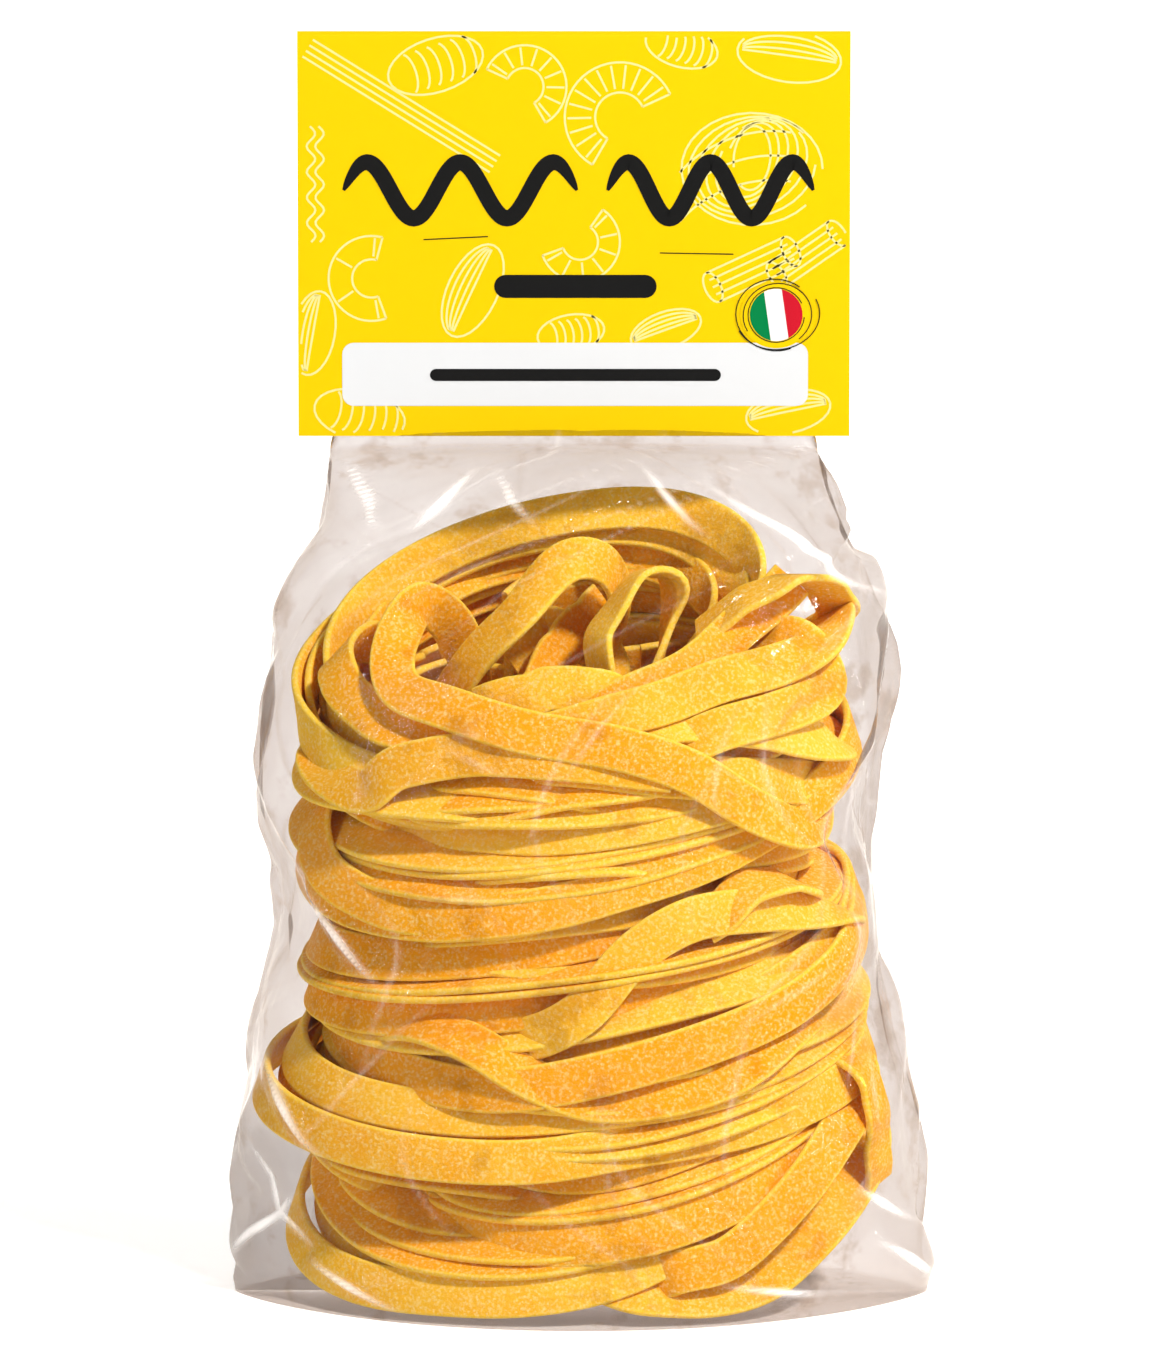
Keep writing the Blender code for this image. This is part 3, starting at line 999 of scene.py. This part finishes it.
def on_card(u, v, layer):
    """A place u mm from the card's left edge and v mm above its foot, on an ink layer."""
    return Vector((CARD_LEFT + u, CARD_FACE - INK_STEP * layer, CARD_FOOT + v)) * MM


def plate(name, outline, layer, material):
    """A thin flat plate from a closed outline of (u, v) places."""
    mesh = bmesh.new()
    front = [mesh.verts.new(on_card(u, v, layer)) for u, v in outline]
    back = [mesh.verts.new(on_card(u, v, layer - 0.9)) for u, v in outline]
    mesh.faces.new(front)
    mesh.faces.new(list(reversed(back)))
    for k in range(len(outline)):
        n = (k + 1) % len(outline)
        mesh.faces.new((front[k], back[k], back[n], front[n]))
    bmesh.ops.triangulate(mesh, faces=[face for face in mesh.faces if len(face.verts) > 4])
    bmesh.ops.recalc_face_normals(mesh, faces=mesh.faces)
    data = bpy.data.meshes.new(name)
    mesh.to_mesh(data)
    mesh.free()
    data.materials.append(material)
    piece = bpy.data.objects.new(name, data)
    scene.collection.objects.link(piece)
    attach(piece, "root")
    return piece


def banner(name, top, foot, layer, material):
    """A thin flat plate between two lines of (u, v) places, faced with a row of quads."""
    mesh = bmesh.new()
    rows = []
    for line, depth in ((top, layer), (foot, layer), (foot, layer - 0.9), (top, layer - 0.9)):
        rows.append([mesh.verts.new(on_card(u, v, depth)) for u, v in line])
    for first, second in zip(rows, rows[1:] + rows[:1]):
        for a, b, c, d in zip(first, first[1:], second[1:], second):
            mesh.faces.new((a, b, c, d))
    for end in (0, -1):
        mesh.faces.new([row[end] for row in rows])
    bmesh.ops.recalc_face_normals(mesh, faces=mesh.faces)
    data = bpy.data.meshes.new(name)
    mesh.to_mesh(data)
    mesh.free()
    data.materials.append(material)
    piece = bpy.data.objects.new(name, data)
    scene.collection.objects.link(piece)
    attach(piece, "root")
    return piece


def arc(u, v, ru, rv, start, stop, turn=0.0, steps=28):
    """Places along an ellipse from start to stop degrees, the whole turned by turn degrees."""
    made = []
    for k in range(steps + 1):
        t = math.radians(start + (stop - start) * k / steps)
        a, b = ru * math.cos(t), rv * math.sin(t)
        c, s = math.cos(math.radians(turn)), math.sin(math.radians(turn))
        made.append((u + a * c - b * s, v + a * s + b * c))
    return made


def rounded_box(u0, v0, u1, v1, radius):
    corners = ((u1 - radius, v1 - radius, 0), (u0 + radius, v1 - radius, 90),
        (u0 + radius, v0 + radius, 180), (u1 - radius, v0 + radius, 270))
    return [place for u, v, start in corners for place in arc(u, v, radius, radius, start, start + 90, steps=6)]


def strokes(name, lines, layer, width, material):
    """Thin printed lines along lists of (u, v) places, swept as flat strips."""
    chains = []
    for line in lines:
        points = np.array([on_card(u, v, layer - 0.5) / MM for u, v in line])
        chains.append((points, np.tile((0.0, -1.0, 0.0), (len(points), 1)), 0.0))
    piece = sweep_piece(name, chains, STROKE_TREE, width, INK_STEP * 0.9, 0.0, material)
    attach(piece, "root")
    return piece


# %% [markdown]
# ## Fields of the print
# A bold black wave of noodle stands where a title would, a short bar sits under it, and a pale
# panel carries one dark bar. The round badge has three upright bars of colour in sketched rings.

# %% Black shapes, panel and badge
TITLE_HEIGHT = 40.5
TITLE_SWING = 4.6
TITLE_LINE = 2.7


def title_wave(left, right, waves):
    """A bold noodle wave from left to right, thinning to its two ends."""
    steps = int(40 * waves)
    top = []
    foot = []
    for k in range(steps + 1):
        share = k / steps
        turn = 2 * math.pi * waves * share
        slope = TITLE_SWING * 2 * math.pi * waves / (right - left) * math.cos(turn)
        size = math.hypot(1.0, slope)
        half = TITLE_LINE / 2 * min(1.0, (10 * share + 0.03) ** 0.5, (10 * (1 - share) + 0.03) ** 0.5)
        u = left + (right - left) * share
        v = TITLE_HEIGHT + TITLE_SWING * math.sin(turn)
        top.append((u - half * slope / size, v + half / size))
        foot.append((u + half * slope / size, v - half / size))
    return top, foot


banner("title_wave_left", *title_wave(7.5, 45.5, 2.5), 2, BLACK)
banner("title_wave_right", *title_wave(50.5, 84.0, 2.5), 2, BLACK)
plate("title_bar", rounded_box(32.0, 22.8, 58.5, 26.6, 1.9), 2, BLACK)
plate("label_panel", rounded_box(7.2, 5.0, 83.2, 15.4, 1.9), 2, LABEL_GREY)
plate("label_bar", rounded_box(21.5, 9.1, 69.0, 11.1, 1.0), 3, BLACK)

BADGE_U, BADGE_V, BADGE_R = 78.0, 20.0, 4.3
BAND_TURN = 8.0


def badge_band(low, high):
    """The part of the round badge between two upright lines, leaning a little."""
    right = [math.degrees(math.asin(max(-1.0, min(1.0, edge / BADGE_R)))) for edge in (low, high)]
    upper = arc(BADGE_U, BADGE_V, BADGE_R, BADGE_R, 90 - right[1], 90 - right[0], BAND_TURN, 10)
    lower = arc(BADGE_U, BADGE_V, BADGE_R, BADGE_R, 270 + right[0], 270 + right[1], BAND_TURN, 10)
    return upper + lower


plate("badge_green", badge_band(-BADGE_R, -1.45), 4, FLAG_GREEN)
plate("badge_white", badge_band(-1.45, 1.45), 4, FLAG_WHITE)
plate("badge_red", badge_band(1.45, BADGE_R), 4, FLAG_RED)
plate("badge_ground", arc(BADGE_U, BADGE_V, 5.9, 5.5, 0, 350, 0, 34), 3, YELLOW)
badge_rings = [
    arc(BADGE_U, BADGE_V, 4.6, 4.5, 20, 350, 5),
    arc(BADGE_U + 0.2, BADGE_V, 5.6, 5.2, -60, 200, 10),
    arc(BADGE_U - 0.1, BADGE_V, 6.5, 5.9, 60, 300, -8),
    arc(BADGE_U + 0.2, BADGE_V, 6.9, 5.7, 200, 380, 6),
]
strokes("badge_rings", badge_rings, 5, 0.16, BLACK)
strokes("title_underlines", [((20.5, 32.4), (31.0, 32.9)), ((59.0, 30.2), (71.0, 30.0))], 2, 0.18, BLACK)

# %% [markdown]
# ## White drawings
# The ground is strewn with line drawings of pasta shapes. They are drawn here by formula: closed
# curves for the outlines, and rows of short arcs for the ridges.

# %% Draw the pasta shapes


def gnocchi(u, v, size, turn):
    lines = [arc(u, v, size, size * 0.55, 0, 360, turn)]
    for share in (-0.6, -0.35, -0.1, 0.15, 0.4, 0.65):
        a = math.radians(turn)
        cu, cv = u + share * size * math.cos(a), v + share * size * math.sin(a)
        lines.append(arc(cu, cv, size * 0.18, size * 0.42, -75, 75, turn, 10))
    return lines


def half_moon(u, v, size, turn, ridges=9):
    lines = [arc(u, v, size, size, 0, 215, turn), arc(u, v, size * 0.45, size * 0.45, 0, 215, turn)]
    for k in range(ridges):
        angle = math.radians(turn + 10 + 195 * k / (ridges - 1))
        lines.append([(u + r * size * math.cos(angle),
            v + r * size * math.sin(angle)) for r in (0.52, 0.75, 0.95)])
    for end in (0, 215):
        angle = math.radians(turn + end)
        lines.append([(u + r * size * math.cos(angle),
            v + r * size * math.sin(angle)) for r in (0.45, 0.72, 1.0)])
    return lines


def shell(u, v, size, turn):
    lines = [arc(u, v, size, size * 0.5, 0, 360, turn)]
    for share in (0.75, 0.5, 0.25, 0.02):
        lines.append(arc(u, v, size * 0.94, size * 0.5 * share, 15, 165, turn, 16))
    return lines


def tube(u, v, length, radius, turn):
    a = math.radians(turn)
    c, s = math.cos(a), math.sin(a)
    ends = [(u + d * length / 2 * c, v + d * length / 2 * s) for d in (-1, 1)]
    lines = [arc(eu, ev, radius * 0.5, radius, 0, 360, turn, 20) for eu, ev in ends]
    for side in (-1.0, -0.5, 0.0, 0.5, 1.0):
        lines.append([(eu - side * radius * s, ev + side * radius * c) for eu, ev in ends])
    return lines


def bundle(u0, v0, u1, v1, count, spread):
    a = math.atan2(v1 - v0, u1 - u0)
    lines = []
    for k in range(count):
        d = spread * (k / (count - 1) - 0.5)
        lines.append([(u0 - d * math.sin(a), v0 + d * math.cos(a)), (u1 - d * math.sin(a),
            v1 + d * math.cos(a))])
    return lines


def little_nest(u, v, size):
    lines = []
    for k in range(7):
        lines.append(arc(u, v + 0.3 * k - 1, size * (1 - 0.09 * k), size * (0.8 - 0.09 * k),
            25 * k, 25 * k + 320, 14 * k))
    for lift in (-0.3, 0.05, 0.4):
        lines.append(arc(u, v - size * 0.9 + lift * size, size * 1.3, size * 0.9, 50, 130, 20))
    return lines


def wavy_strip(u, v0, v1, swing):
    heights = [v0 + (v1 - v0) * k / 40 for k in range(41)]
    return [[(u + off + swing * math.sin(1.5 * (h - v0)), h) for h in heights] for off in (0.0, 1.4)]


def inside_card(lines, margin=0.5):
    """Cuts the lines off at the card's edge."""
    wide = card_high.x - card_low.x - margin
    tall = card_high.z - card_low.z - margin
    kept = []
    for line in lines:
        run = []
        for u, v in line:
            if margin < u < wide and margin < v < tall:
                run.append((u, v))
            else:
                kept.append(run)
                run = []
        kept.append(run)
    return [run for run in kept if len(run) > 1]


drawings = (
    gnocchi(22.5, 61.0, 8.0, 18)
    + half_moon(37.0, 57.5, 6.8, -60)
    + half_moon(52.5, 52.5, 9.0, 25, 13)
    + little_nest(74.0, 45.0, 11.5)
    + bundle(0.6, 62.0, 31.0, 43.0, 8, 7.5)
    + wavy_strip(2.2, 32.0, 51.0, 0.7)
    + half_moon(12.0, 26.0, 7.0, 75, 4)
    + shell(28.5, 24.0, 8.2, 65)
    + shell(2.5, 17.0, 7.0, 80)
    + tube(74.0, 27.5, 14.0, 2.6, 25)
    + tube(83.0, 30.0, 12.0, 2.4, 35)
    + shell(80.0, 62.5, 8.5, -8)
    + gnocchi(62.5, 64.0, 6.0, -15)
    + half_moon(46.0, 32.0, 6.5, 200, 7)
    + gnocchi(44.5, 17.0, 5.5, 10)
    + shell(60.0, 17.5, 6.0, 20)
    + gnocchi(10.0, 3.5, 7.5, -12)
    + shell(80.0, 4.0, 7.0, 12)
)
strokes("white_drawings", inside_card(drawings), 1, 0.34, PALE_LINE)

# %% [markdown]
# ## Stage, light and camera
# A pale floor runs up into a pale backdrop. A small lamp high at the right gives the warm
# light and the short shadows, a wide one at the left fills, and two narrow ones draw glints on the
# film. The camera stands ten degrees above level, far off, so that upright lines stay upright.

# %% Stage
STAGE_HALF = 3.0
STAGE_BEND_AT = 0.35
STAGE_BEND = 0.30
STAGE_TOP = 2.0


def build_stage():
    """A floor that bends up into a backdrop. Behind the bag it has a painted glow that stands in for light on the
    paper and pales the bag's shadow.
    """
    profile = [(-STAGE_HALF, 0.0)]
    for step in range(13):
        turn = math.radians(90.0 * step / 12)
        profile.append((STAGE_BEND_AT + STAGE_BEND * math.sin(turn), STAGE_BEND * (1.0 - math.cos(turn))))
    profile.append((STAGE_BEND_AT + STAGE_BEND, STAGE_TOP))
    points = [(side, y, z - 0.2 * MM) for y, z in profile for side in (-STAGE_HALF, STAGE_HALF)]
    faces = [(2 * k, 2 * k + 1, 2 * k + 3, 2 * k + 2) for k in range(len(profile) - 1)]
    mesh = bpy.data.meshes.new("floor")
    mesh.from_pydata(points, [], faces)
    mesh.polygons.foreach_set("use_smooth", [True] * len(faces))
    material, tree, output = blank_material("Pale paper roll")
    place = node(tree, "ShaderNodeTexCoord")
    split = node(tree, "ShaderNodeSeparateXYZ")
    tree.links.new(place.outputs["Object"], split.inputs[0])
    # Painted light: the paper glows more from the front towards the backdrop, standing in for light on it and paling
    # the bag's shadow.
    painted_glow = range_mask(tree, split.outputs["Y"], -0.45, 0.15, 0.0, 0.42)
    shader = node(tree, "ShaderNodeBsdfPrincipled", (("Base Color", (0.86, 0.86, 0.86, 1.0)),
        ("Roughness", 0.9)))
    shader.inputs["Emission Color"].default_value = (1.0, 1.0, 1.0, 1.0)
    tree.links.new(painted_glow, shader.inputs["Emission Strength"])
    tree.links.new(shader.outputs["BSDF"], output.inputs["Surface"])
    mesh.materials.append(material)
    stage = bpy.data.objects.new("floor", mesh)
    scene.collection.objects.link(stage)
    return stage


build_stage()

# %% Lights
AIM = Vector((0.0, 0.0, 0.09))


def soft_lamp(name, place, size, watts, colour=(1.0, 1.0, 1.0)):
    data = bpy.data.lights.new(name, "AREA")
    data.shape = "RECTANGLE"
    data.size, data.size_y = size
    data.energy = watts
    data.color = colour
    lamp = bpy.data.objects.new(name, data)
    lamp.location = place
    lamp.rotation_euler = (AIM - Vector(place)).to_track_quat("-Z", "Y").to_euler()
    scene.collection.objects.link(lamp)


soft_lamp("key", (0.75, -1.0, 1.35), (0.16, 0.16), 42.0, (1.0, 0.97, 0.92))
soft_lamp("fill", (-1.3, -1.1, 0.7), (1.0, 1.0), 1.0, (1.0, 0.98, 0.96))
soft_lamp("glint_left", (-0.8, -0.8, 0.3), (0.025, 1.0), 5.0)
soft_lamp("glint_right", (0.8, -0.3, 0.3), (0.025, 1.0), 5.0)
world = bpy.data.worlds.new("Pale room")
world.use_nodes = True
world.node_tree.nodes["Background"].inputs["Color"].default_value = (1.0, 1.0, 1.0, 1.0)
world.node_tree.nodes["Background"].inputs["Strength"].default_value = 0.07
scene.world = world
scene.view_settings.view_transform = "Standard"

# %% Camera
CAMERA_ELEVATION = math.radians(10.0)
CAMERA_DISTANCE = 2.2
FRAME_HEIGHT_MM = 224.3
LOOK_AT = Vector((-1.1, 0.0, 101.7)) * MM
camera_data = bpy.data.cameras.new("camera")
camera_data.sensor_width = 36.0
camera_data.lens = 36.0 * CAMERA_DISTANCE / (FRAME_HEIGHT_MM * MM)
camera = bpy.data.objects.new("camera", camera_data)
away = Vector((0.0, -math.cos(CAMERA_ELEVATION), math.sin(CAMERA_ELEVATION)))
camera.location = LOOK_AT + away * CAMERA_DISTANCE
camera.rotation_euler = (-away).to_track_quat("-Z", "Y").to_euler()
scene.collection.objects.link(camera)
scene.camera = camera
